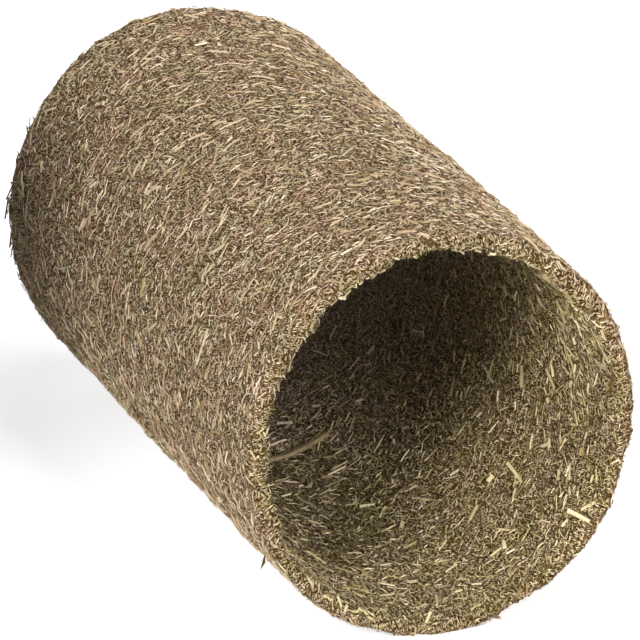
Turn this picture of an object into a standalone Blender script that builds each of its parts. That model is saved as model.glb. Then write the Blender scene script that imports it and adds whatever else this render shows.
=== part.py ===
"""Pressed alfalfa hay roll: one open tube of chopped hay, pressed and dried, lying on its side.

Units are metres, +Z up. The tube's axis runs along Y, with the slanted end at -Y. The origin is
the middle of the footprint, on the surface that the tube rests on.
"""

import math

import bmesh
import bpy
from mathutils import Matrix, Vector, noise

# Driving dimensions
DIAMETER = 0.140  # outside, over the tips of the pressed stems
LENGTH = 0.250
WALL = 0.0062
OUTER_ROUND = 0.0026  # rounding of the rims' outer edge
INNER_ROUND = 0.0022  # rounding of the rims' inner edge
FLAT_DEPTH = 0.0008  # how far the settled strip along the bottom is pressed in

# Hand-made irregularities
TALLER = 0.010  # the section is this share taller than round, and as much narrower
SLANT_SIDE = 0.029  # the -Y end runs back by this share of the way to +X
SLANT_TOP = 0.030  # and by this share of the way up
WAVE = 0.0003  # slow swell of the wall
WAVE_LENGTH = 0.045
RIM_WAVE = 0.0006  # unevenness of both rims along the axis
RIM_REACH = 0.040  # how far from a rim its slant and unevenness fade out

# Mesh fineness
TURNS = 60  # segments around
STRETCHES = 12  # segments along each wall
CORNER_STEPS = 4  # segments round each rim edge

HAY = (0.314, 0.238, 0.147)
ROUGHNESS = 0.9


def clear_scene():
    """Removes every object of the scene that Blender starts with."""
    for old in list(bpy.data.objects):
        bpy.data.objects.remove(old, do_unlink=True)


def new_collection(name):
    """A new collection under the scene's own."""
    made = bpy.data.collections.new(name)
    bpy.context.scene.collection.children.link(made)
    return made


def plain_material(name, colour, roughness):
    """A Principled material of one colour, with no metal."""
    made = bpy.data.materials.new(name)
    made.use_nodes = True
    shader = made.node_tree.nodes["Principled BSDF"]
    shader.inputs["Base Color"].default_value = (*colour, 1.0)
    shader.inputs["Roughness"].default_value = roughness
    shader.inputs["Metallic"].default_value = 0.0
    return made


def corner(centre_x, centre_z, radius, start):
    """A quarter circle of the profile, turning clockwise from start (in degrees)."""
    points = []
    for step in range(CORNER_STEPS + 1):
        angle = math.radians(start - 90 * step / CORNER_STEPS)
        points.append((centre_x + radius * math.cos(angle), centre_z + radius * math.sin(angle)))
    return points


def straight(start, end):
    """The points strictly between two ends of a straight wall."""
    return [
        tuple(a + (b - a) * step / STRETCHES for a, b in zip(start, end))
        for step in range(1, STRETCHES)
    ]


def wall_profile():
    """The wall's closed section at +X, down its outer side and up its inner one."""
    outer = DIAMETER / 2
    inner = outer - WALL
    top = LENGTH / 2
    top_outer = corner(outer - OUTER_ROUND, top - OUTER_ROUND, OUTER_ROUND, 90)
    low_outer = corner(outer - OUTER_ROUND, OUTER_ROUND - top, OUTER_ROUND, 0)
    low_inner = corner(inner + INNER_ROUND, INNER_ROUND - top, INNER_ROUND, -90)
    top_inner = corner(inner + INNER_ROUND, top - INNER_ROUND, INNER_ROUND, 180)
    down = straight(top_outer[-1], low_outer[0])
    up = straight(low_inner[-1], top_inner[0])
    return top_outer + down + low_outer + low_inner + up + top_inner


def turned_tube():
    """A straight round tube about Z, as a mesh, from its profile and a Screw."""
    profile = bpy.data.meshes.new("wall_profile")
    points = [(x, 0.0, z) for x, z in wall_profile()]
    edges = [(i, (i + 1) % len(points)) for i in range(len(points))]
    profile.from_pydata(points, edges, [])
    turned = bpy.data.objects.new("turned", profile)
    bpy.context.scene.collection.objects.link(turned)
    screw = turned.modifiers.new("turn", "SCREW")
    screw.axis = "Z"
    screw.angle = math.tau
    screw.steps = TURNS
    screw.render_steps = TURNS
    screw.use_merge_vertices = True
    screw.merge_threshold = 0.0001
    graph = bpy.context.evaluated_depsgraph_get()
    mesh = bpy.data.meshes.new_from_object(turned.evaluated_get(graph))
    bpy.data.objects.remove(turned, do_unlink=True)
    bpy.data.meshes.remove(profile)
    return mesh


def hand_pressed(point):
    """Moves a point of the straight round tube, whose axis is Y, to its place on the real one."""
    side = Vector((point.x, 0.0, point.z)).normalized()
    around = side * (DIAMETER / 2)
    swell = WAVE * noise.noise(Vector((around.x, point.y, around.z)) / WAVE_LENGTH)
    moved = point + side * swell
    moved.x *= 1 - TALLER
    moved.z *= 1 + TALLER
    to_rim = max(0.0, 1 - (LENGTH / 2 - abs(point.y)) / RIM_REACH)
    end = 1 if point.y > 0 else -1
    uneven = RIM_WAVE * noise.noise(around / WAVE_LENGTH + Vector((0.0, 7.0 * end, 0.0)))
    slant = SLANT_SIDE * point.x + SLANT_TOP * point.z if end < 0 else 0.0
    moved.y += to_rim * (uneven + slant)
    return moved


def centred(mesh):
    """Moves the mesh so that its box is centred on the origin in X and Y."""
    for axis in (0, 1):
        values = [vertex.co[axis] for vertex in mesh.vertices]
        middle = (min(values) + max(values)) / 2
        for vertex in mesh.vertices:
            vertex.co[axis] -= middle


def hay_tube(parts, cutters):
    """The pressed tube, with the strip along its bottom pressed flat by its own weight."""
    mesh = turned_tube()
    mesh.name = "hay_tube"
    mesh.transform(Matrix.Rotation(math.radians(90), 4, "X"))
    for vertex in mesh.vertices:
        vertex.co = hand_pressed(vertex.co)
    centred(mesh)
    mesh.materials.append(plain_material("pressed_hay", HAY, ROUGHNESS))
    mesh.shade_smooth()
    tube = bpy.data.objects.new("hay_tube", mesh)
    tube.location.z = DIAMETER / 2 * (1 + TALLER) - FLAT_DEPTH
    parts.objects.link(tube)

    ground = bpy.data.meshes.new("ground_cutter")
    block = bmesh.new()
    bmesh.ops.create_cube(block, size=1.0)
    block.to_mesh(ground)
    block.free()
    cutter = bpy.data.objects.new("ground_cutter", ground)
    cutter.scale = (DIAMETER * 2, LENGTH * 2, DIAMETER)
    cutter.location.z = -DIAMETER / 2
    cutter.hide_render = True
    cutter.display_type = "WIRE"
    cutters.objects.link(cutter)
    settle = tube.modifiers.new("settled_strip", "BOOLEAN")
    settle.operation = "DIFFERENCE"
    settle.solver = "EXACT"
    settle.object = cutter


clear_scene()
hay_tube(new_collection("hay_roll"), new_collection("cutters"))
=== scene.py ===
"""Looks of the pressed alfalfa hay roll: its matted wall, the chopped hay on it, and the studio.

Units are metres. The tube's axis runs along Y, and its slanted end, at -Y, faces the camera.
Angles round the tube start at +X and rise by way of the top.
"""

import math

import bpy
import numpy as np
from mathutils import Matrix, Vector


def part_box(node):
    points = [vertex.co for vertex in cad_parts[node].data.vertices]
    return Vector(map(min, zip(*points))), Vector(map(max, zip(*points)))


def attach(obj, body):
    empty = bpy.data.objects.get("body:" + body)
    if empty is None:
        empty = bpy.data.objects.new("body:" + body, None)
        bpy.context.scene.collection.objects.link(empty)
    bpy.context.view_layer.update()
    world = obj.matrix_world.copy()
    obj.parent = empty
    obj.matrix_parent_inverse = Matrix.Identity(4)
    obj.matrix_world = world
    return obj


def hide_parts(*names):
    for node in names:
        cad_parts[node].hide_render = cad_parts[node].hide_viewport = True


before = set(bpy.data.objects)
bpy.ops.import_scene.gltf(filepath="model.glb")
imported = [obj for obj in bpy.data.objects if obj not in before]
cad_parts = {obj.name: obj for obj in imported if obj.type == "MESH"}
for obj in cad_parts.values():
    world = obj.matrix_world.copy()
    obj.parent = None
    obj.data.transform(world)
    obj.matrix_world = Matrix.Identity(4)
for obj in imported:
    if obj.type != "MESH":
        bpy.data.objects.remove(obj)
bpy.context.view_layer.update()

NODE = "hay_tube"
BODY = "root"
SEED = 7

# The tube, as the CAD model makes it
LENGTH = 0.250
WALL = 0.0062
FLAT_DEPTH = 0.0008  # how far the settled strip along the bottom is pressed in
SLANT_SIDE = 0.029  # the -Y end runs back by this share of the way to +X
SLANT_TOP = 0.030  # and by this share of the way up
SLANT_REACH = 0.040  # how far from that end the slant fades out

# The matted wall's section
BELOW_SKIN = 0.0001  # how far it lies below the CAD skin at the sides
PAST_END = 0.0006  # how far it reaches past that skin at the ends
OUTER_ROUND = 0.0027
INNER_ROUND = 0.0024
CORNER_POINTS = 13  # points round each rim edge
SETTLE = 0.0005  # below this height the wall is pressed flat against the ground

# The matted wall's faces
TURNS = 320  # faces round the tube
LONG_STEP = 0.0030  # length of the faces along the tube
RIM_STEP = 0.0009  # and of those round the rims
SHORTER_REACH = 0.012  # how far from an end the faces start to get shorter
TRIES = 8  # places looked at for each of the shortest faces, when the edges are set

# The mat's relief, as waves of a length and a height
SWELL = (0.040, 0.00025)
CLUMPS = (0.010, 0.00020)
RIM_WEAR = (0.008, 0.00045)
RIM_TEAR = (0.0035, 0.00016)
LIP_TEAR = (0.0022, 0.00032)
WAVE_COUNT = 28
WAVE_SPREAD = (0.7, 1.4)  # the shortest and longest of the waves, as shares of their length

# How far from an end the rims' wear and their ragged inner edge reach
RIM_REACH = 0.009
LIP_REACH = 0.0050
WEAR = 0.35  # the share of the wear in the middle of a rim
WEAR_INWARD = 0.65  # how much more of it there is towards the inside
WEAR_LEAST = 0.15  # and the share that is left towards the outside
NOTCHES = 14  # torn nicks round each rim
NOTCH_DEPTHS = (0.0008, 0.0024)
NOTCH_WIDTHS = (0.0012, 0.0030)

# Thick and thin places round the near rim's inner edge: degrees, metres and degrees
RIM_LUMPS = ((194, 0.0018, 14), (228, -0.0012, 22), (42, 0.0014, 12), (95, -0.0006, 20))
LUMP_START = 0.3  # how far outwards over the rim they start, as a share of the way

# Swollen and sunken places of the outside: degrees, place along from the middle, height, and the
# widths in degrees and in metres
BULGES = (
    (114, 0.125, 0.0021, 24, 0.045),
    (37, -0.005, 0.0014, 10, 0.016),
    (-66, -0.125, -0.0015, 11, 0.030),
    (90, -0.020, -0.0004, 14, 0.060),
)

# Where the hay of the outside and that of the inside meet, over the rims
RIM_MIDDLE = 0.0046  # from the end of the outer side to the middle of a rim, round the section
OVERLAP = 0.0060  # the stretch over a rim where the two kinds mix
RIM_SHADE_REACH = 0.0045  # how far from the middle of a rim the painted shade reaches
RIM_BIT_SHADE = 0.06  # how much less tone its bits have under that painted shade
RIM_MAT_SHADE = 0.10  # the share by which that painted shade darkens the mat under them
RIM_LONGEST = 0.0026  # the longest and widest bits in the middle of a rim
RIM_WIDEST = 0.0005

# The way in which the hay lies drifts from place to place, over this length and by these radians
WAY_DRIFT = (0.060, 0.30)
SLOPE_STEP = 0.0015  # how far apart the points are that give the wall's slope under a bit


def unit(vectors):
    """Each row scaled to length one."""
    return vectors / np.linalg.norm(vectors, axis=-1, keepdims=True)


def turn_from(place, angle):
    """The turn from a place round the tube to an angle, the short way."""
    return np.angle(np.exp(1j * (angle - place)))


def round_place(angle, radius, along):
    """Points of a smooth round tube, for what changes from place to place."""
    return np.stack([radius * np.cos(angle), along, radius * np.sin(angle)], axis=-1)


def pressed_up(height):
    """Heights with whatever is below the ground pressed up to it."""
    pressed = SETTLE * np.exp(np.minimum(height / SETTLE - 1, 0))
    return np.where(height < SETTLE, pressed, height)


class Waves:
    """Smooth random relief: a sum of cosine waves of about one length."""

    def __init__(self, rng, length, height):
        scale = rng.uniform(*WAVE_SPREAD, (WAVE_COUNT, 1))
        self.steps = unit(rng.normal(size=(WAVE_COUNT, 3))) * math.tau / (length * scale)
        self.starts = rng.uniform(0, math.tau, WAVE_COUNT)
        self.height = height * math.sqrt(2 / WAVE_COUNT)

    def at(self, points):
        """The relief's height at points."""
        return self.height * np.cos(points @ self.steps.T + self.starts).sum(axis=-1)


class Wall:
    """The tube's skin, as an angle round the tube and a distance round the wall's section.

    The distance starts at the -Y end of the outer side, and runs over the far rim, back along
    the inner side and over the near rim.
    """

    def __init__(self, low, high, rng):
        self.half_width = (high[0] - low[0]) / 2 - BELOW_SKIN
        self.half_height = (high[2] - low[2] + FLAT_DEPTH) / 2 - BELOW_SKIN
        self.radius = (self.half_width + self.half_height) / 2
        middle_z = high[2] - BELOW_SKIN - self.half_height
        self.centre = Vector((0.0, high[1] - LENGTH / 2, middle_z))
        self.swell = Waves(rng, *SWELL)
        self.clumps = Waves(rng, *CLUMPS)
        self.rim_wear = Waves(rng, *RIM_WEAR)
        self.rim_tear = Waves(rng, *RIM_TEAR)
        self.lip_tear = Waves(rng, *LIP_TEAR)
        self.drift = Waves(rng, *WAY_DRIFT)
        self.notches = [
            (end, rng.uniform(0, math.tau), rng.uniform(*NOTCH_DEPTHS), rng.uniform(*NOTCH_WIDTHS))
            for end in (-1, 1)
            for _ in range(NOTCHES)
        ]
        self.section = self.make_section()

    def make_section(self):
        """Rows of distance round the section, radius, place along the axis, and the normal."""
        outer = self.radius
        inner = outer - WALL + 2 * BELOW_SKIN
        end = LENGTH / 2 + PAST_END
        corners = (
            (outer - OUTER_ROUND, end - OUTER_ROUND, OUTER_ROUND, 0),
            (inner + INNER_ROUND, end - INNER_ROUND, INNER_ROUND, 90),
            (inner + INNER_ROUND, INNER_ROUND - end, INNER_ROUND, 180),
            (outer - OUTER_ROUND, OUTER_ROUND - end, OUTER_ROUND, 270),
        )
        rows = []
        for middle_r, middle_y, bend, start in corners:
            for angle in np.radians(np.linspace(start, start + 90, CORNER_POINTS)):
                out_r, out_y = math.cos(angle), math.sin(angle)
                rows.append((middle_r + bend * out_r, middle_y + bend * out_y, out_r, out_y))
        rows = np.array([rows[-1], *rows])
        steps = np.hypot(*np.diff(rows[:, :2], axis=0).T)
        distance = np.concatenate([[0], np.cumsum(steps)])
        return np.column_stack([distance, rows])

    @property
    def girth(self):
        """The distance once round the section."""
        return self.section[-1, 0]

    def span(self, side):
        """The stretch of the section that is one side of the tube. They overlap on the rims."""
        straight = self.section[1, 0]
        reach = RIM_MIDDLE + OVERLAP / 2
        if side == "outside":
            return -reach, straight + reach
        return straight + 2 * RIM_MIDDLE - reach, self.girth - 2 * RIM_MIDDLE + reach

    def share(self, side, distance):
        """One on a side of the tube, and less and less over the rims on the way to the other."""
        start, stop = self.span(side)
        off = np.abs(distance - (start + stop) / 2)
        return np.clip(((stop - start) / 2 - off) / OVERLAP, 0, 1)

    def rimward(self, distance):
        """One in the middle of a rim, and nought away from it."""
        start, stop = self.span("inside")
        off = np.abs(np.mod(distance, self.girth) - (start + stop) / 2)
        from_rim = np.abs(off - (stop - start - OVERLAP) / 2)
        return np.clip(1 - from_rim / RIM_SHADE_REACH, 0, 1)

    def distance_at(self, side, along):
        """The distance round the section of a place along one straight side."""
        end = LENGTH / 2 + PAST_END
        if side == "outside":
            return along + end - OUTER_ROUND
        return self.section[2 * CORNER_POINTS, 0] + end - INNER_ROUND - along

    def on_section(self, distance):
        """Radius, place along the axis and normal at distances round the section."""
        wrapped = np.mod(distance, self.girth)
        places = self.section[:, 0]
        return [np.interp(wrapped, places, column) for column in self.section[:, 1:].T]

    def relief(self, angle, radius, along, out_r):
        """How far the mat stands out from its smooth section."""
        place = round_place(angle, radius, along)
        from_end = LENGTH / 2 - np.abs(along)
        to_rim = np.clip(1 - from_end / RIM_REACH, 0, 1)
        height = self.swell.at(place) + self.clumps.at(place)
        torn = np.clip(WEAR - WEAR_INWARD * out_r, WEAR_LEAST, 1) * to_rim
        height += torn * (self.rim_wear.at(place) + self.rim_tear.at(place))
        for end, middle, depth, width in self.notches:
            off = turn_from(middle, angle) * self.radius / width
            height -= (np.sign(along) == end) * torn * depth * np.exp(-off * off)
        lip = np.clip(-out_r, 0, 1) * np.clip(1 - from_end / LIP_REACH, 0, 1)
        height += lip * self.lip_tear.at(place)
        inside = np.clip(-out_r + LUMP_START, 0, 1) * (along < 0) * to_rim
        for middle, thicker, width in RIM_LUMPS:
            off = turn_from(math.radians(middle), angle) / math.radians(width)
            height += inside * thicker * np.exp(-off * off)
        for middle, middle_y, rise, width, reach in BULGES:
            off = turn_from(math.radians(middle), angle) / math.radians(width)
            away = (along - middle_y) / reach
            height += np.clip(out_r, 0, 1) * rise * np.exp(-off * off - away * away)
        return height

    def surface(self, angle, distance, height=0.0):
        """Points at a height over the mat."""
        radius, along, out_r, out_y = self.on_section(distance)
        over = self.relief(angle, radius, along, out_r) + height
        radius = radius + out_r * over
        x = radius * np.cos(angle) * self.half_width / self.radius
        z = radius * np.sin(angle) * self.half_height / self.radius
        to_end = np.clip(1 - (LENGTH / 2 + along) / SLANT_REACH, 0, 1)
        y = along + out_y * over + to_end * (SLANT_SIDE * x + SLANT_TOP * z)
        return np.stack([x, y + self.centre.y, pressed_up(z + self.centre.z)], axis=-1)


def new_piece(name, points, faces, material):
    """A mesh piece that rides on the tube."""
    mesh = bpy.data.meshes.new(name)
    mesh.from_pydata(points, [], faces)
    mesh.materials.append(material)
    piece = bpy.data.objects.new(name, mesh)
    bpy.context.scene.collection.objects.link(piece)
    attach(piece, BODY)
    return piece


def add_map(mesh, name, places):
    """Gives each face corner its place on a flat map."""
    layer = mesh.uv_layers.new(name=name, do_init=False)
    layer.uv.foreach_set("vector", np.asarray(places, np.float32).ravel())


def wall_marks(wall):
    """Distances round the section at which the wall has an edge, closer near the rims."""
    dense = np.arange(0, wall.girth, RIM_STEP / TRIES)
    along = np.abs(wall.on_section(dense)[1])
    from_rim = np.clip((LENGTH / 2 - along) / SHORTER_REACH, 0, 1)
    step = RIM_STEP + (LONG_STEP - RIM_STEP) * from_rim
    passed = np.cumsum(RIM_STEP / TRIES / step)
    count = int(passed[-1])
    return np.interp(np.arange(count) * passed[-1] / count, passed, dense)


def matted_wall(wall, material):
    """The tube's wall: one closed skin, over both rims."""
    marks = wall_marks(wall)
    angles = np.arange(TURNS) * math.tau / TURNS
    grid_angle, grid_mark = np.meshgrid(angles, marks, indexing="ij")
    points = wall.surface(grid_angle.ravel(), grid_mark.ravel())
    rows = len(marks)
    first = np.arange(TURNS)[:, None] * rows + np.arange(rows)
    up = first[:, (np.arange(rows) + 1) % rows]
    side = first[(np.arange(TURNS) + 1) % TURNS]
    across = side[:, (np.arange(rows) + 1) % rows]
    faces = np.stack([first, up, across, side], axis=-1).reshape(-1, 4)
    piece = new_piece("hay_wall", points, faces.tolist(), material)
    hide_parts(NODE)
    piece.data.shade_smooth()
    u = np.arange(TURNS + 1) * math.tau / TURNS * wall.radius
    v = np.append(marks, wall.girth)
    u0, v0 = np.meshgrid(u[:-1], v[:-1], indexing="ij")
    u1, v1 = np.meshgrid(u[1:], v[1:], indexing="ij")
    corners = np.stack([u0, v0, u0, v1, u1, v1, u1, v0], axis=-1).reshape(-1, 2)
    add_map(piece.data, "unrolled", corners)
    add_map(piece.data, "OFBake", corners / [u[-1], v[-1]])


class Form:
    """A small shape that is copied many times.

    Its corners are along, across and up. Each face corner has its place in a cell of the map, and
    the cell is this many times as tall as it is wide.
    """

    def __init__(self, corners, faces, places, tall):
        self.corners = np.array(corners, float)
        self.faces = faces
        self.places = np.array(places, float)
        self.tall = tall


def sliver_form():
    """A splinter with two slopes that ends in points."""
    corners = ((-0.5, 0, 0.5), (0.5, 0, 0.5), (0, -0.5, 0), (0, 0.5, 0))
    faces = ((0, 1, 3), (1, 0, 2), (0, 3, 2), (1, 2, 3))
    places = (
        (0.05, 0.5), (0.95, 0.5), (0.5, 0.95),
        (0.95, 0.5), (0.05, 0.5), (0.5, 0.05),
        (0.05, 0.95), (0.25, 0.95), (0.05, 0.75),
        (0.95, 0.95), (0.95, 0.75), (0.75, 0.95),
    )
    return Form(corners, faces, places, 0.6)


def fibre_form():
    """A thin fibre in three lengths, so that it can bend, which ends in points."""
    corners = [(-0.5, 0, 0.2)]
    for stop in (-0.2, 0.2):
        corners += [(stop, -0.5, 0), (stop, 0, 1), (stop, 0.5, 0)]
    corners.append((0.5, 0, 0.2))
    faces = []
    places = []
    for side in range(3):
        after = (side + 1) % 3
        faces += [
            (0, 1 + side, 1 + after),
            (1 + side, 4 + side, 4 + after, 1 + after),
            (4 + side, 7, 4 + after),
        ]
        low, high = 0.05 + 0.3 * side, 0.30 + 0.3 * side
        places += [(0.04, (low + high) / 2), (0.32, low), (0.32, high)]
        places += [(0.34, low), (0.66, low), (0.66, high), (0.34, high)]
        places += [(0.68, low), (0.96, (low + high) / 2), (0.68, high)]
    return Form(corners, faces, places, 0.4)


def stalk_form():
    """A split length of stem with a ridge, cut square at both ends."""
    corners = (
        (-0.5, -0.5, 0), (-0.5, 0.5, 0), (-0.5, 0.08, 1),
        (0.5, -0.5, 0), (0.5, 0.5, 0), (0.5, -0.06, 1),
    )
    faces = ((0, 1, 4, 3), (1, 2, 5, 4), (0, 3, 5, 2), (0, 2, 1), (3, 4, 5))
    places = (
        (0.05, 0.72), (0.05, 0.92), (0.85, 0.92), (0.85, 0.72),
        (0.05, 0.66), (0.05, 0.37), (0.85, 0.37), (0.85, 0.66),
        (0.05, 0.05), (0.85, 0.05), (0.85, 0.35), (0.05, 0.35),
        (0.90, 0.10), (0.90, 0.40), (0.98, 0.25),
        (0.90, 0.60), (0.98, 0.75), (0.90, 0.90),
    )
    return Form(corners, faces, places, 0.5)


def flake_form(rng):
    """A scrap of dried leaf: a crumpled scale, longer than it is wide."""
    count = 6
    turns = np.arange(count) * math.tau / count + rng.uniform(-0.3, 0.3, count)
    reach = rng.uniform(0.32, 0.5, count)
    height = rng.uniform(0, 0.5, count)
    ring = np.column_stack([np.cos(turns) * reach, np.sin(turns) * reach, height])
    corners = [*ring, (rng.uniform(-0.1, 0.1), rng.uniform(-0.1, 0.1), 1.0)]
    slopes = [(k, (k + 1) % count, count) for k in range(count)]
    base = tuple(range(count - 1, -1, -1))
    front = [(0.26 + 0.45 * x, 0.5 + 0.9 * y) for x, y, _ in corners]
    back = [(0.76 + 0.40 * x, 0.5 + 0.8 * y) for x, y, _ in ring]
    places = [front[corner] for face in slopes for corner in face]
    places += [back[corner] for corner in base]
    return Form(corners, [*slopes, base], places, 0.5)


def stem_form(rings=5):
    """A whole stem with a flattened round section, in several lengths so that it can bend."""
    section = ((-0.5, 0.0), (-0.27, 0.85), (0.27, 0.85), (0.5, 0.0))
    stops = np.linspace(-0.5, 0.5, rings)
    corners = [(stop, across, up) for stop in stops for across, up in section]
    faces = []
    places = []
    for ring in range(rings - 1):
        left, right = 0.05 + 0.8 * ring / (rings - 1), 0.05 + 0.8 * (ring + 1) / (rings - 1)
        this, after = 4 * ring, 4 * ring + 4
        for side in range(4):
            beside = (side + 1) % 4
            faces.append((this + side, after + side, after + beside, this + beside))
            low, high = 0.05 + 0.225 * side, 0.05 + 0.225 * (side + 1)
            places += [(left, low), (right, low), (right, high), (left, high)]
    faces += [(0, 1, 2, 3), tuple(range(4 * rings - 1, 4 * rings - 5, -1))]
    places += [(0.89, 0.1), (0.89, 0.4), (0.97, 0.4), (0.97, 0.1)]
    places += [(0.89, 0.6), (0.89, 0.9), (0.97, 0.9), (0.97, 0.6)]
    return Form(corners, faces, places, 0.25)


class Bits:
    """Where many copies of a form lie on the wall, how large they are and how they bend.

    Every field is an array. The turn is from the way round the tube, the tilt is out of the wall,
    and the bow, sway and arch are the bends of a soft bit: sideways one way, sideways both ways,
    and out of the wall.
    """

    def __init__(self, **fields):
        self.__dict__.update(fields)
        count = len(self.angle)
        for bend in ("bow", "sway", "arch"):
            self.__dict__.setdefault(bend, np.zeros(count))

    def part(self, start, step):
        """Every so many of the bits."""
        return Bits(**{name: field[start::step] for name, field in vars(self).items()})


def laid_flat(wall, form, bits):
    """Corners of straight bits, each in the plane that touches the wall at its middle."""
    middle = wall.surface(bits.angle, bits.distance, bits.lift)
    turned = wall.surface(bits.angle + SLOPE_STEP / wall.radius, bits.distance, bits.lift)
    moved = wall.surface(bits.angle, bits.distance + SLOPE_STEP, bits.lift)
    around = unit(turned - middle)
    beside = unit(moved - middle)
    out = unit(np.cross(beside, around))
    along = np.cos(bits.turn)[:, None] * around + np.sin(bits.turn)[:, None] * beside
    along = unit(along + np.tan(bits.tilt)[:, None] * out)
    across = unit(np.cross(out, along))
    out = np.cross(along, across)
    size = np.stack([bits.length, bits.width, bits.depth], axis=-1)[:, None, :]
    frames = np.stack([along, across, out], axis=1)
    points = middle[:, None, :] + (form.corners[None] * size) @ frames
    points[..., 2] = pressed_up(points[..., 2])
    return points


def laid_round(wall, form, bits):
    """Corners of soft bits, which bend to follow the wall and have bends of their own."""
    share = form.corners[:, 0]
    x = share * bits.length[:, None]
    hump = 1 - 4 * share**2
    bend = bits.bow[:, None] * hump + bits.sway[:, None] * np.sin(math.tau * share)
    y = form.corners[:, 1] * bits.width[:, None] + bend * bits.length[:, None]
    around = x * np.cos(bits.turn)[:, None] - y * np.sin(bits.turn)[:, None]
    beside = x * np.sin(bits.turn)[:, None] + y * np.cos(bits.turn)[:, None]
    height = bits.lift[:, None] + form.corners[:, 2] * bits.depth[:, None]
    height += x * np.tan(bits.tilt)[:, None] + bits.arch[:, None] * hump
    points = wall.surface(
        (bits.angle[:, None] - around / wall.radius).ravel(),
        (bits.distance[:, None] + beside).ravel(),
        height.ravel(),
    )
    return points.reshape(*x.shape, 3)


def scattered(name, wall, form, bits, material, soft=False):
    """One joined piece of all the bits, with their tone and hue, and a map cell for each."""
    corners = laid_round(wall, form, bits) if soft else laid_flat(wall, form, bits)
    count, size = corners.shape[:2]
    faces = [
        tuple(corner + start for corner in face)
        for start in range(0, count * size, size)
        for face in form.faces
    ]
    piece = new_piece(name, corners.reshape(-1, 3), faces, material)
    for title, values in (("tone", bits.tone), ("hue", bits.hue)):
        layer = piece.data.attributes.new(title, "FLOAT", "POINT")
        layer.data.foreach_set("value", np.repeat(values, size).astype(np.float32))
    columns = math.ceil(math.sqrt(count * form.tall))
    rows = math.ceil(count / columns)
    index = np.arange(count)
    cell = np.column_stack([index % columns, index // columns])[:, None, :]
    add_map(piece.data, "OFBake", (form.places[None] + cell) / (columns, rows))


# Colours of the hay from dark to pale, as they show on a screen, and casts that drift over it
OUTSIDE = ((40, 19, 3), (106, 79, 42), (167, 142, 108), (212, 192, 163), (248, 235, 212))
INSIDE = ((30, 17, 1), (90, 71, 36), (156, 138, 99), (208, 191, 153), (248, 235, 204))
OUTSIDE_CASTS = ((1.07, 0.985, 0.955, 1), (0.99, 1.0, 0.885, 1))  # pinkish brown and olive
INSIDE_CASTS = ((1.03, 0.985, 0.98, 1), (1.00, 1.0, 0.82, 1))  # brown and yellow olive
NO_CAST = (1.0, 1.0, 1.0, 1.0)
DEEP_PAINTED_SHADE = (1.0, 0.97, 1.18, 1)  # painted shade: the bluer colour of the shade deep inside the tube
DEEP_START = -0.030  # metres along the tube where that begins
DEEP_STOP = 0.090
SIDE_PAINTED_LIGHT = (1.19, 1.17, 1.13, 1)  # painted light: how the inside is brighter on the +X side, where the light falls on it
SIDE_START = 0.005  # metres to +X where that begins
SIDE_STOP = 0.045
PATCH_SCALE = 80.0
PATCHES = (4.5, -1.83)  # their contrast, and how far it is shifted to balance the casts
BIT_HUE = 0.15  # how far a bit's own hue moves it from its patch's colour
SHINE = 0.1

# The bits' surface
GRAIN_SCALE = 1500.0
GRAIN_TONE = 0.30  # how much the grain changes the tone
GRAIN_ROUGHNESS = (0.3, 0.6)  # how much it changes the roughness, and the least of that
GRAIN_BUMP = 0.5
GRAIN_HEIGHT = 0.0002

# The mat's layers of strands: their way in degrees, and how far apart they are along and across
STRANDS = (
    (80, 0.0020, 0.00050),
    (-60, 0.0018, 0.00048),
    (40, 0.0020, 0.00052),
    (-25, 0.0018, 0.00050),
    (5, 0.0022, 0.00052),
    (70, 0.0020, 0.00050),
)
LAYER_SHIFT = 0.31  # from one layer to the next along, which keeps their cells apart
SHIFT_ACROSS = 0.7  # the share of that across
BARE_MAT = (0.0, 0.5, 0.0)  # shade, hue and height under the strands; its shade of nought is painted shade in the gaps
CURL_SCALE = 90.0
CURL = 0.0050  # how far the strands stray from straight
MAT_ROUGHNESS = 0.9
MAT_HEIGHT = 0.0004

# One strand's look, where each pair is a factor and an addend
STRAND_WIDTH = (0.18, 0.24)  # its width, from a random number of its own
STRAND_EDGE = (-12.0, 0.5)  # how sharp its edge is
STRAND_GAP_SHADOW = (2.2, 0.15)  # the painted shadow in the gap beside it, which darkens what lies below
STRAND_CONTRAST = (2.0, -0.5)  # its shade, from another number of its own
STRAND_SHADE = (0.62, 0.33)  # and the range of shades that this is fitted in
STRAND_RIDGE = 1.1  # its height in the middle


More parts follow.
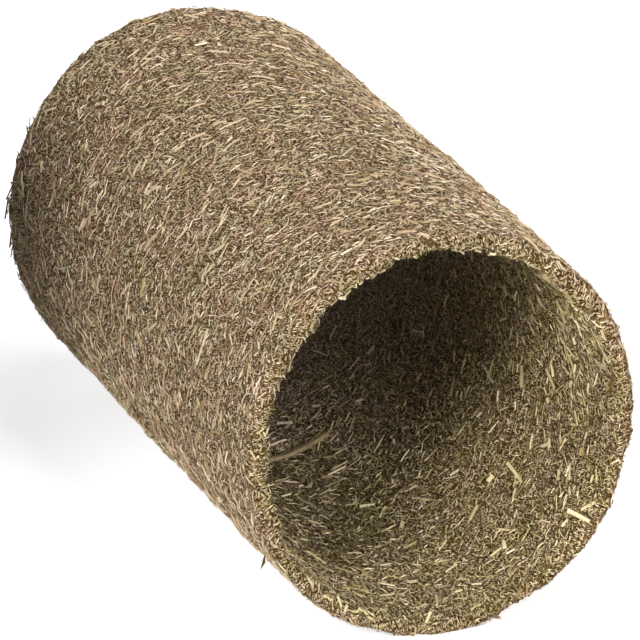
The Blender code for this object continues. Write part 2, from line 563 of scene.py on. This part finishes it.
class Nodes:
    """Shorthand for building a shader's nodes."""

    def __init__(self, tree):
        self.tree = tree

    def join(self, value, socket):
        """Links an output to a socket, or sets the socket to a plain value."""
        if isinstance(value, bpy.types.NodeSocket):
            self.tree.links.new(value, socket)
        else:
            socket.default_value = value

    def add(self, kind, values=None, **settings):
        """A node with settings, and values or links for its inputs. Returns the node."""
        node = self.tree.nodes.new(kind)
        for key, value in settings.items():
            setattr(node, key, value)
        for key, value in (values or {}).items():
            self.join(value, node.inputs[key])
        return node

    def maths(self, operation, *values, clamp=False):
        """The result of a sum, product or the like."""
        values = dict(enumerate(values))
        return self.add("ShaderNodeMath", values, operation=operation, use_clamp=clamp).outputs[0]

    def vector(self, operation, values, output="Vector"):
        """The result of a vector sum, product or the like."""
        return self.add("ShaderNodeVectorMath", values, operation=operation).outputs[output]

    def climb(self, value, start, stop):
        """Nought up to the start, one from the stop on, and a straight climb between them."""
        reach = stop - start
        return self.maths("MULTIPLY_ADD", value, 1 / reach, -start / reach, clamp=True)

    def mix(self, factor, first, second):
        """A number between two."""
        values = {0: factor, 2: first, 3: second}
        return self.add("ShaderNodeMix", values, data_type="FLOAT").outputs[0]

    def blend(self, factor, first, second, kind="MIX"):
        """A colour between two, or one over the other by another kind of mix."""
        values = {0: factor, 6: first, 7: second}
        node = self.add("ShaderNodeMix", values, data_type="RGBA", blend_type=kind)
        return node.outputs[2]

    def tint(self, colour, cast):
        """A colour multiplied by a cast."""
        return self.blend(1.0, colour, cast, "MULTIPLY")

    def ramp(self, value, colours):
        """A colour ramp through evenly spaced colours."""
        node = self.add("ShaderNodeValToRGB", {"Fac": value})
        points = node.color_ramp.elements
        while len(points) < len(colours):
            points.new(0.5)
        for order, (point, colour) in enumerate(zip(points, colours)):
            point.position = order / (len(colours) - 1)
            point.color = srgb(*colour)
        return node.outputs["Color"]


def srgb(red, green, blue):
    """A colour given as it shows on a screen, from 0 to 255, as the shader's linear one."""
    parts = [c / 255 for c in (red, green, blue)]
    linear = (c / 12.92 if c < 0.04045 else ((c + 0.055) / 1.055) ** 2.4 for c in parts)
    return (*linear, 1.0)


def new_material(name):
    """A material and the helper for its nodes, with its Principled shader."""
    material = bpy.data.materials.new(name)
    material.use_nodes = True
    nodes = Nodes(material.node_tree)
    shader = material.node_tree.nodes["Principled BSDF"]
    shader.inputs["Specular IOR Level"].default_value = SHINE
    return material, nodes, shader


def patches(nodes, place, hue):
    """A share that drifts in patches of a centimetre or two, and a little from bit to bit."""
    values = {"Vector": place, "Scale": PATCH_SCALE, "Detail": 2.0, "Roughness": 0.6}
    slow = nodes.add("ShaderNodeTexNoise", values).outputs["Fac"]
    drift = nodes.maths("MULTIPLY_ADD", slow, *PATCHES)
    return nodes.maths("MULTIPLY_ADD", hue, BIT_HUE, drift, clamp=True)


def inner_painted_light(nodes, place):
    """Painted shade deeper in the tube, and painted light towards +X, where it is shallow."""
    axes = nodes.add("ShaderNodeSeparateXYZ", {"Vector": place}).outputs
    side_painted_light = nodes.climb(axes["X"], SIDE_START, SIDE_STOP)
    deep_painted_shade = nodes.climb(axes["Y"], DEEP_START, DEEP_STOP)
    return nodes.blend(deep_painted_shade, nodes.blend(side_painted_light, NO_CAST, SIDE_PAINTED_LIGHT), DEEP_PAINTED_SHADE)


def bit_material(name, colours, casts, deep_painted_shade=False):
    """Chopped stem and leaf: each bit's own tone, in patches of colour, with a fine grain."""
    material, nodes, shader = new_material(name)
    place = nodes.add("ShaderNodeTexCoord").outputs["Object"]
    tone = nodes.add("ShaderNodeAttribute", attribute_name="tone").outputs["Fac"]
    hue = nodes.add("ShaderNodeAttribute", attribute_name="hue").outputs["Fac"]
    values = {"Vector": place, "Scale": GRAIN_SCALE, "Detail": 2.0}
    grain = nodes.add("ShaderNodeTexNoise", values).outputs["Fac"]
    drift = nodes.maths("MULTIPLY_ADD", grain, GRAIN_TONE, -GRAIN_TONE / 2)
    colour = nodes.ramp(nodes.maths("ADD", tone, drift, clamp=True), colours)
    cast = nodes.blend(patches(nodes, place, hue), *casts)
    # Inside, the colour also carries painted shade deeper in and painted light towards +X
    if deep_painted_shade:
        cast = nodes.tint(cast, inner_painted_light(nodes, place))
    nodes.join(nodes.tint(colour, cast), shader.inputs["Base Color"])
    rough = nodes.maths("MULTIPLY_ADD", grain, *GRAIN_ROUGHNESS)
    nodes.join(rough, shader.inputs["Roughness"])
    values = {"Height": grain, "Strength": GRAIN_BUMP, "Distance": GRAIN_HEIGHT}
    nodes.join(nodes.add("ShaderNodeBump", values).outputs[0], shader.inputs["Normal"])
    return material


def strand_layer(nodes, place, below, turn, length, width, shift):
    """Lays strands that lie one way over those below, each with a painted shadow along its edge.

    Takes and gives back the mat's shade, hue and height.
    """
    shade, hue, height = below
    turned = nodes.add(
        "ShaderNodeMapping",
        {
            "Vector": place,
            "Rotation": (0, 0, math.radians(turn)),
            "Location": (shift, shift * SHIFT_ACROSS, 0),
        },
        vector_type="TEXTURE",
    )
    scaled = nodes.vector("MULTIPLY", {0: turned.outputs[0], 1: (1 / length, 1 / width, 1.0)})
    cells = nodes.add(
        "ShaderNodeTexVoronoi",
        {"Vector": scaled, "Scale": 1.0, "Randomness": 1.0},
        voronoi_dimensions="2D",
        feature="F1",
    ).outputs
    own = nodes.add("ShaderNodeSeparateColor", {"Color": cells["Color"]}).outputs
    reach = nodes.maths("MULTIPLY_ADD", own["Green"], *STRAND_WIDTH)
    past = nodes.maths("SUBTRACT", cells["Distance"], reach)
    over = nodes.maths("MULTIPLY_ADD", past, *STRAND_EDGE, clamp=True)
    gap_shadow = nodes.maths("MULTIPLY_ADD", past, *STRAND_GAP_SHADOW, clamp=True)
    own_shade = nodes.maths("MULTIPLY_ADD", own["Red"], *STRAND_CONTRAST, clamp=True)
    own_shade = nodes.maths("MULTIPLY_ADD", own_shade, *STRAND_SHADE)
    ridge = nodes.maths("SUBTRACT", STRAND_RIDGE, cells["Distance"])
    shade = nodes.mix(over, nodes.maths("MULTIPLY", shade, gap_shadow), own_shade)
    hue = nodes.mix(over, hue, own["Blue"])
    height = nodes.mix(over, nodes.maths("MULTIPLY", height, gap_shadow), ridge)
    return shade, hue, height


def wall_material(wall):
    """The mat under the bits: strands pressed in many directions, with painted shade in the gaps.
    """
    material, nodes, shader = new_material("pressed_mat")
    place = nodes.add("ShaderNodeTexCoord").outputs["Object"]
    flat = nodes.add("ShaderNodeUVMap", uv_map="unrolled").outputs[0]
    values = {"Vector": place, "Scale": CURL_SCALE, "Detail": 1.0}
    curl = nodes.add("ShaderNodeTexNoise", values).outputs["Color"]
    curl = nodes.vector("SUBTRACT", {0: curl, 1: (0.5, 0.5, 0.5)})
    curl = nodes.vector("SCALE", {0: curl, "Scale": CURL})
    bent = nodes.vector("ADD", {0: flat, 1: curl})
    mat = BARE_MAT
    for order, strands in enumerate(STRANDS):
        mat = strand_layer(nodes, bent, mat, *strands, LAYER_SHIFT * order)
    shade, hue, height = mat
    distance = nodes.add("ShaderNodeSeparateXYZ", {"Vector": flat}).outputs["Y"]
    start, stop = wall.span("inside")
    middle, half = (start + stop) / 2, (stop - start) / 2
    off = nodes.maths("ABSOLUTE", nodes.maths("SUBTRACT", distance, middle))
    within = nodes.maths("MULTIPLY_ADD", off, -1 / OVERLAP, half / OVERLAP, clamp=True)
    past_rim = nodes.maths("SUBTRACT", off, (stop - start - OVERLAP) / 2)
    from_rim = nodes.maths("ABSOLUTE", past_rim)
    rimward = nodes.maths("MULTIPLY_ADD", from_rim, -1 / RIM_SHADE_REACH, 1.0, clamp=True)
    # Painted shade over the middle of each rim, against the light the rims catch
    rim_shade = nodes.maths("MULTIPLY_ADD", rimward, -RIM_MAT_SHADE, 1.0)
    shade = nodes.maths("MULTIPLY", shade, rim_shade)
    colour = nodes.blend(within, nodes.ramp(shade, OUTSIDE), nodes.ramp(shade, INSIDE))
    share = patches(nodes, place, hue)
    # The inside's colour carries painted shade deeper in and painted light towards +X
    inner = nodes.tint(nodes.blend(share, *INSIDE_CASTS), inner_painted_light(nodes, place))
    cast = nodes.blend(within, nodes.blend(share, *OUTSIDE_CASTS), inner)
    nodes.join(nodes.tint(colour, cast), shader.inputs["Base Color"])
    shader.inputs["Roughness"].default_value = MAT_ROUGHNESS
    values = {"Height": height, "Strength": 1.0, "Distance": MAT_HEIGHT}
    nodes.join(nodes.add("ShaderNodeBump", values).outputs[0], shader.inputs["Normal"])
    return material


# Sizes of the kinds of bit: of length and of width, the middle one, its spread, the least and
# the most
FINE_SPLINTERS = ((0.0015, 0.4, 0.0006, 0.004), (0.00032, 0.22, 0.0002, 0.0006))
LONGER_SPLINTERS = ((0.0019, 0.4, 0.0006, 0.004), (0.00028, 0.22, 0.0002, 0.0006))
OUTSIDE_FIBRES = ((0.0031, 0.4, 0.0012, 0.009), (0.00032, 0.22, 0.0002, 0.0006))
INSIDE_FIBRES = ((0.0030, 0.4, 0.0012, 0.009), (0.00032, 0.22, 0.0002, 0.0006))
STALKS = ((0.0028, 0.45, 0.0010, 0.008), (0.00052, 0.25, 0.0003, 0.0010))
CHIPS = ((0.0036, 0.35, 0.0018, 0.008), (0.0009, 0.25, 0.0005, 0.0015))
FLAKES = ((0.0018, 0.4, 0.0010, 0.0045), (0.0009, 0.3, 0.0005, 0.0018))
STEMS = ((0.0060, 0.35, 0.0040, 0.014), (0.0006, 0.25, 0.0004, 0.0012))

# How they lie: between which heights over the mat, and the scatter of their tilt in degrees
SLIVER_LIE = ((-0.0001, 0.0003), 20)
FIBRE_LIE = ((0.0, 0.0004), 8)
STALK_LIE = ((0.0, 0.0004), 5)
CHIP_LIE = ((0.0, 0.0004), 6)
FLAKE_LIE = ((0.0, 0.0003), 8)
STEM_LIE = ((-0.0001, 0.0003), 0.5)

# The bow, sway and arch of soft bits
FIBRE_BENDS = (0.035, 0.018, 0.0002)
STEM_BENDS = (0.02, 0.012, 0.0002)

# How many bits lie on a side with a full share of them
SLIVER_COUNT = 60000
FIBRE_COUNT = 14500
STALK_COUNT = 2000
FLAKE_COUNT = 1400

# Means and scatters of tones, and how much of its tone a dark bit of painted gap shade keeps
FIBRE_TONES = (0.70, 0.18)
FLAKE_TONES = (0.5, 0.2)
GAP_SHADE_TONE = 0.18

THICKNESS = (0.5, 0.9)  # the bits' least and greatest, as shares of their width
FLAKE_THICKNESS = 0.3  # the share of it that a flake has

# What lies on each side: the share of the many small bits; the degrees by which the bits lean from
# the way round the tube towards the far end, and how far the stiff and the combed ones stray from
# that; the numbers of chips and stems; the tones of the fine bits and of the larger ones; and the
# share of dark ones among the fine, which are painted shade of the gaps
SIDES = {
    "outside": {
        "share": 1.0,
        "lean": 0,
        "scatter": 80,
        "comb": 55,
        "slivers": FINE_SPLINTERS,
        "fibres": OUTSIDE_FIBRES,
        "chips": 90,
        "stems": 900,
        "fine": (0.72, 0.20),
        "larger": (0.62, 0.13),
        "gap_shade": 0.20,
    },
    "inside": {
        "share": 0.83,
        "lean": 60,
        "scatter": 44,
        "comb": 46,
        "slivers": LONGER_SPLINTERS,
        "fibres": INSIDE_FIBRES,
        "chips": 330,
        "stems": 420,
        "fine": (0.77, 0.24),
        "larger": (0.69, 0.20),
        "gap_shade": 0.28,
    },
}


def random_sizes(rng, count, middle, spread, least, most):
    """Random sizes round a middle one."""
    return np.clip(middle * np.exp(rng.normal(0, spread, count)), least, most)


def even_places(rng, wall, side, count):
    """Places in a loose grid over one side of the wall, with no heaps and no bare spots."""
    start, stop = wall.span(side)
    rows = round(math.sqrt(count * (stop - start) / (math.tau * wall.radius)))
    columns = round(count / rows)
    row, column = np.divmod(np.arange(rows * columns), columns)
    angle = (column + rng.random(len(row))) * math.tau / columns
    distance = start + (row + rng.random(len(row))) * (stop - start) / rows
    return angle, distance


def spread(rng, wall, side, count, way, sizes, lie, tones, bends=(0, 0, 0)):
    """Bits spread evenly over one side of the wall. The way is the mean turn and its scatter."""
    angle, distance = even_places(rng, wall, side, count)
    kept = rng.random(len(angle)) < wall.share(side, distance)
    angle, distance = angle[kept], distance[kept]
    count = len(angle)
    radius, along = wall.on_section(distance)[:2]
    drift = wall.drift.at(round_place(angle, radius, along))
    rimward = np.maximum(wall.rimward(distance), 0.01)  # never nought, to divide by it
    lengths, widths = sizes
    lift, tilt = lie
    width = np.minimum(random_sizes(rng, count, *widths), RIM_WIDEST / rimward)
    return Bits(
        angle=angle,
        distance=distance,
        turn=np.radians(rng.normal(*way, count)) + drift,
        length=np.minimum(random_sizes(rng, count, *lengths), RIM_LONGEST / rimward),
        width=width,
        depth=width * rng.uniform(*THICKNESS, count),
        lift=rng.uniform(*lift, count),
        tilt=rng.normal(0, math.radians(tilt), count),
        # painted shade lowers the tone over the middle of each rim
        tone=np.clip(rng.normal(*tones, count) - RIM_BIT_SHADE * rimward, 0, 1),
        hue=rng.random(count),
        bow=rng.normal(0, bends[0], count),
        sway=rng.normal(0, bends[1], count),
        arch=np.abs(rng.normal(0, bends[2], count)),
    )


def make_side(rng, wall, side, material):
    """The loose bits on one side of the wall, in a few joined pieces."""
    kind = SIDES[side]
    share, lean, larger = kind["share"], kind["lean"], kind["larger"]
    stiff = (-lean, kind["scatter"])
    combed = (-lean, kind["comb"])
    soft = (lean, kind["comb"])  # the turn of soft bits counts the other way

    def lay(kind_name, form, bits, bending=False):
        scattered(f"{side}_{kind_name}", wall, form, bits, material, bending)

    count = int(SLIVER_COUNT * share)
    bits = spread(rng, wall, side, count, stiff, kind["slivers"], SLIVER_LIE, kind["fine"])
    # Dark splinters: painted shade of the gaps between the hay
    gap_shade = rng.random(len(bits.tone)) < kind["gap_shade"]
    bits.tone = np.where(gap_shade, GAP_SHADE_TONE * bits.tone, bits.tone)
    for number in range(2):
        lay(f"slivers_{number + 1}", sliver_form(), bits.part(number, 2))
    count = int(FIBRE_COUNT * share)
    bits = spread(
        rng, wall, side, count, soft, kind["fibres"], FIBRE_LIE, FIBRE_TONES, FIBRE_BENDS
    )
    lay("fibres", fibre_form(), bits, True)
    count = int(STALK_COUNT * share)
    bits = spread(rng, wall, side, count, combed, STALKS, STALK_LIE, larger)
    lay("stalks", stalk_form(), bits)
    bits = spread(rng, wall, side, kind["chips"], stiff, CHIPS, CHIP_LIE, larger)
    lay("chips", stalk_form(), bits)
    count = int(FLAKE_COUNT * share)
    bits = spread(rng, wall, side, count, stiff, FLAKES, FLAKE_LIE, FLAKE_TONES)
    bits.depth = FLAKE_THICKNESS * bits.depth
    lay("flakes", flake_form(rng), bits)
    bits = spread(rng, wall, side, kind["stems"], soft, STEMS, STEM_LIE, larger, STEM_BENDS)
    lay("stems", stem_form(), bits, True)


# Bits that stand out, one by one: degrees round the tube, then millimetres along it from its
# middle, the turn and tilt in degrees, the length and width in millimetres, and the tone
OUTSIDE_SINGLES = (
    # Loose ends round the far rim
    (151, 123.5, 180, 28, 5.0, 0.8, 0.35),
    (153, 122.5, 160, 24, 4.5, 0.9, 0.30),
    (149, 123.0, 120, 30, 3.5, 0.5, 0.50),
    (172, 124.0, 12, 14, 7.0, 1.2, 0.40),
    (177, 124.0, -10, 12, 8.0, 1.0, 0.25),
    (180, 123.0, 30, 14, 5.0, 0.7, 0.55),
    (187, 124.0, 10, 15, 6.0, 1.2, 0.20),
    (190, 123.5, -20, 12, 5.0, 0.8, 0.35),
    (160, 123.0, 100, 25, 4.0, 0.4, 0.45),
    (96, 123.5, 80, 30, 4.0, 0.4, 0.60),
    (30, 123.0, 100, 35, 5.0, 0.5, 0.50),
    (-35, 123.0, 75, 35, 5.5, 0.6, 0.45),
    (-80, 122.5, 110, 25, 4.5, 0.5, 0.50),
    # Longer stems here and there
    (150, 60.0, 60, 12, 9.0, 1.0, 0.62),
    (118, -20.0, 75, 6, 11.0, 0.9, 0.66),
    (100, 35.0, 40, 5, 10.0, 0.8, 0.64),
    (20, 10.0, 100, 8, 10.0, 0.9, 0.60),
    (-50, 40.0, 60, 8, 9.0, 1.0, 0.60),
    # Pale strands on the -X side and high on it
    (162, -72.0, 2, 2, 13.0, 1.2, 0.84),
    (169, -2.0, 0, 3, 6.5, 1.2, 0.80),
    (162, -13.0, 10, 3, 4.5, 1.3, 0.80),
    (131, -37.0, -39, 4, 8.0, 0.6, 0.97),
    (130, -34.0, -42, 4, 7.0, 0.5, 0.94),
    (133, -40.0, -36, 4, 8.5, 0.6, 0.90),
)

# Pointed splinters that stick well out of the outside
SPURS = (
    (220, -99.0, 5, 52, 6.5, 2.2, 0.22),
    (45, -64.0, 30, 50, 4.0, 0.9, 0.15),
    (196, 60.0, 20, 40, 4.0, 0.8, 0.40),
)

INSIDE_SINGLES = (
    # Pale chips low on the +X side near the slanted end, and lesser ones round them
    (320, -70.0, 277, 4, 15.0, 1.3, 0.86),
    (333, -76.0, 60, 5, 6.0, 1.4, 0.92),
    (334, -78.0, -20, 8, 4.0, 1.2, 0.85),
    (324, -120.0, 258, 14, 10.0, 1.6, 0.95),
    (328, -121.0, 45, 8, 6.0, 1.2, 0.92),
    (332, -100.0, -51, 5, 7.0, 0.9, 0.88),
    (351, -65.0, 110, 4, 10.0, 1.1, 0.82),
    (34, -122.0, 30, 12, 4.0, 1.1, 0.95),
    (4, -82.0, 70, 5, 6.0, 0.8, 0.85),
    (305, -88.0, 65, 6, 7.0, 0.8, 0.85),
    (296, -60.0, 110, 8, 8.0, 0.8, 0.80),
    # Along the floor
    (286, 20.0, 60, 5, 8.0, 1.3, 0.75),
    (289, 12.0, 100, 5, 7.0, 1.2, 0.70),
    (262, -95.0, 40, 10, 6.0, 0.9, 0.85),
    (247, -108.0, 80, 8, 6.0, 0.8, 0.85),
    # Pale chips over the inner edge of the slanted end's rim
    (222, -125.5, 20, 4, 3.2, 0.9, 0.75),
    (226, -124.0, 80, 4, 3.5, 0.9, 0.80),
    (230, -126.0, 0, 4, 3.6, 1.1, 0.78),
    (234, -124.5, 40, 4, 4.0, 1.2, 0.80),
    (237, -126.2, 100, 4, 3.0, 1.2, 0.76),
    (240, -125.2, 160, 4, 3.8, 1.0, 0.82),
    (243, -123.8, 30, 4, 3.6, 1.1, 0.78),
    (246, -126.0, 10, 4, 3.4, 1.0, 0.76),
    # Under the top
    (120, -40.0, 60, 5, 9.0, 0.9, 0.70),
    (60, 30.0, 40, 5, 10.0, 1.0, 0.70),
)

# The one long stem on the floor of the inside, pressed into its curve
LONG_STEM = ((274, 28.0, 18, 0, 33.0, 3.0, 0.55),)
LONG_STEM_RINGS = 13


def singles(wall, side, rows):
    """The bits of a given list. A tilted one is raised, but keeps its low end in the mat."""
    angle, along, turn, tilt, length, width, tone = np.array(rows, float).T
    return Bits(
        angle=np.radians(angle),
        distance=wall.distance_at(side, along / 1000),
        turn=np.radians(turn),
        tilt=np.radians(tilt),
        length=length / 1000,
        width=width / 1000,
        depth=width / 2500,  # two fifths of the width
        lift=length / 1000 * np.tan(np.radians(tilt)) / 4,
        tone=tone,
        hue=np.full(len(tone), 0.5),
    )


def make_hay():
    """The wall, and everything that lies on it."""
    rng = np.random.default_rng(SEED)
    low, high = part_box(NODE)
    wall = Wall(low, high, rng)
    matted_wall(wall, wall_material(wall))
    outer = bit_material("bits_outside", OUTSIDE, OUTSIDE_CASTS)
    inner = bit_material("bits_inside", INSIDE, INSIDE_CASTS, True)
    make_side(rng, wall, "outside", outer)
    make_side(rng, wall, "inside", inner)
    bits = singles(wall, "outside", OUTSIDE_SINGLES)
    scattered("outside_singles", wall, stem_form(), bits, outer)
    bits = singles(wall, "outside", SPURS)
    scattered("outside_spurs", wall, sliver_form(), bits, outer)
    bits = singles(wall, "inside", INSIDE_SINGLES)
    scattered("inside_singles", wall, stem_form(), bits, inner)
    bits = singles(wall, "inside", LONG_STEM)
    scattered("long_stem", wall, stem_form(LONG_STEM_RINGS), bits, inner, True)


# The camera
CAMERA_TURN = -20.5  # degrees from straight in front of the -Y end, to the right
CAMERA_RISE = 21.1  # degrees above level
CAMERA_AWAY = 2.596  # metres from the tube's middle
CAMERA_LENS = 421.9  # millimetres, as the sensor is
CAMERA_SENSOR = 36.0
CAMERA_SIGHT = 20.0  # how far it sees, in metres
AIM_RIGHT = 0.00275  # how far it is moved to its own right and down after that
AIM_DOWN = 0.00372

# Lights: the way towards each from the tube, and its power
LIGHTS = (
    ("key", (-0.612, -0.612, 0.500), 57.7),
    ("fill", (0.161, -0.913, 0.375), 48.9),
    ("top", (0.155, -0.268, 0.951), 19.5),
)
LIGHT_AWAY = 3.0
LIGHT_SIZE = 0.9
LIGHT_CENTRE = (0, 0, 0.07)  # the point that they face

FLOOR_REACH = 6.0  # from its middle to each edge
FLOOR_GREY = 0.85
FLOOR_ROUGHNESS = 0.9
GLOW = 0.70  # how white the floor shows of itself round the object
GLOW_START = 0.25  # metres from the object's middle where it starts to be whiter
GLOW_STOP = 0.90
WORLD_LIGHT = 0.22  # the light that the world gives, where to the eye it has one

# The flag's edges, in metres to the camera's right, towards the camera and up from the tube's
# middle
FLAG_LEFT = -0.160
FLAG_RIGHT = -0.142
FLAG_FRONT = 0.104
FLAG_REAR = -0.085
FLAG_LOW = -0.060
FLAG_HIGH = 0.100
FLAG_GREY = 0.01


def view_axes():
    """Right, up and back of a camera at the chosen turn and rise."""
    turn, rise = math.radians(CAMERA_TURN), math.radians(CAMERA_RISE)
    level = math.cos(rise)
    back = Vector((math.sin(turn) * level, -math.cos(turn) * level, math.sin(rise)))
    right = Vector((math.cos(turn), math.sin(turn), 0.0))
    return right, back.cross(right), back


def make_camera(centre):
    """The camera, far away with a long lens."""
    right, up, back = view_axes()
    data = bpy.data.cameras.new("camera")
    data.lens = CAMERA_LENS
    data.sensor_width = CAMERA_SENSOR
    data.clip_end = CAMERA_SIGHT
    camera = bpy.data.objects.new("camera", data)
    bpy.context.scene.collection.objects.link(camera)
    camera.location = centre + right * AIM_RIGHT - up * AIM_DOWN + back * CAMERA_AWAY
    camera.rotation_euler = back.to_track_quat("Z", "Y").to_euler()
    bpy.context.scene.camera = camera


def make_light(name, towards, power):
    """A square soft light that faces the tube."""
    data = bpy.data.lights.new(name, "AREA")
    data.size = LIGHT_SIZE
    data.energy = power
    light = bpy.data.objects.new(name, data)
    bpy.context.scene.collection.objects.link(light)
    way = Vector(towards).normalized()
    light.location = way * LIGHT_AWAY + Vector(LIGHT_CENTRE)
    light.rotation_euler = way.to_track_quat("Z", "Y").to_euler()


def seen_directly(nodes):
    """One where the eye looks straight, by a reflection or through glass, and otherwise nought."""
    path = nodes.add("ShaderNodeLightPath").outputs
    seen = nodes.maths("MAXIMUM", path["Is Camera Ray"], path["Is Glossy Ray"])
    return nodes.maths("MAXIMUM", seen, path["Is Transmission Ray"])


def plain_card(name, corners, faces, material):
    """A flat or bent card of the studio."""
    mesh = bpy.data.meshes.new(name)
    mesh.from_pydata(corners, [], faces)
    mesh.materials.append(material)
    card = bpy.data.objects.new(name, mesh)
    bpy.context.scene.collection.objects.link(card)
    return card


def make_floor():
    """A white floor, brighter to the eye than in the light it sends back, which keeps the shadow.

    Far from the object it shows plain white.
    """
    material, nodes, shader = new_material("floor_white")
    shader.inputs["Base Color"].default_value = (FLOOR_GREY, FLOOR_GREY, FLOOR_GREY, 1)
    shader.inputs["Roughness"].default_value = FLOOR_ROUGHNESS
    shader.inputs["Emission Color"].default_value = (1, 1, 1, 1)
    place = nodes.add("ShaderNodeTexCoord").outputs["Object"]
    away = nodes.vector("LENGTH", {0: place}, "Value")
    share = nodes.climb(away, GLOW_START, GLOW_STOP)
    glow = nodes.maths("MULTIPLY_ADD", share, 1 - GLOW, GLOW)
    glow = nodes.maths("MULTIPLY", seen_directly(nodes), glow)
    nodes.join(glow, shader.inputs["Emission Strength"])
    reach = FLOOR_REACH
    corners = [(-reach, -reach, 0), (reach, -reach, 0), (reach, reach, 0), (-reach, reach, 0)]
    floor = plain_card("floor", corners, [(0, 1, 2, 3)], material)


def make_flag(centre):
    """A bent black card, out of the camera's sight, that keeps light off the far left end."""
    right, up, back = view_axes()
    material, _, shader = new_material("flag_black")
    shader.inputs["Base Color"].default_value = (FLAG_GREY, FLAG_GREY, FLAG_GREY, 1)
    shader.inputs["Roughness"].default_value = 1.0
    edges = ((FLAG_RIGHT, FLAG_FRONT), (FLAG_LEFT, FLAG_FRONT), (FLAG_LEFT, FLAG_REAR))
    corners = [
        centre + right * across + back * near + up * high
        for across, near in edges
        for high in (FLAG_LOW, FLAG_HIGH)
    ]
    flag = plain_card("flag", corners, [(0, 2, 3, 1), (2, 4, 5, 3)], material)
    flag.visible_camera = False


def make_world():
    """A world that shows white, and lights the scene with less."""
    world = bpy.data.worlds.new("studio")
    bpy.context.scene.world = world
    world.use_nodes = True
    nodes = Nodes(world.node_tree)
    shader = world.node_tree.nodes["Background"]
    shader.inputs["Color"].default_value = (1, 1, 1, 1)
    strength = nodes.mix(seen_directly(nodes), WORLD_LIGHT, 1.0)
    nodes.join(strength, shader.inputs["Strength"])


def make_studio():
    """The camera, the lights, the flag, the floor and the world."""
    low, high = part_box(NODE)
    centre = Vector((0.0, high[1] - LENGTH / 2, (low[2] + high[2]) / 2))
    make_camera(centre)
    for light in LIGHTS:
        make_light(*light)
    make_flag(centre)
    make_floor()
    make_world()
    bpy.context.scene.view_settings.view_transform = "Standard"


make_studio()
make_hay()
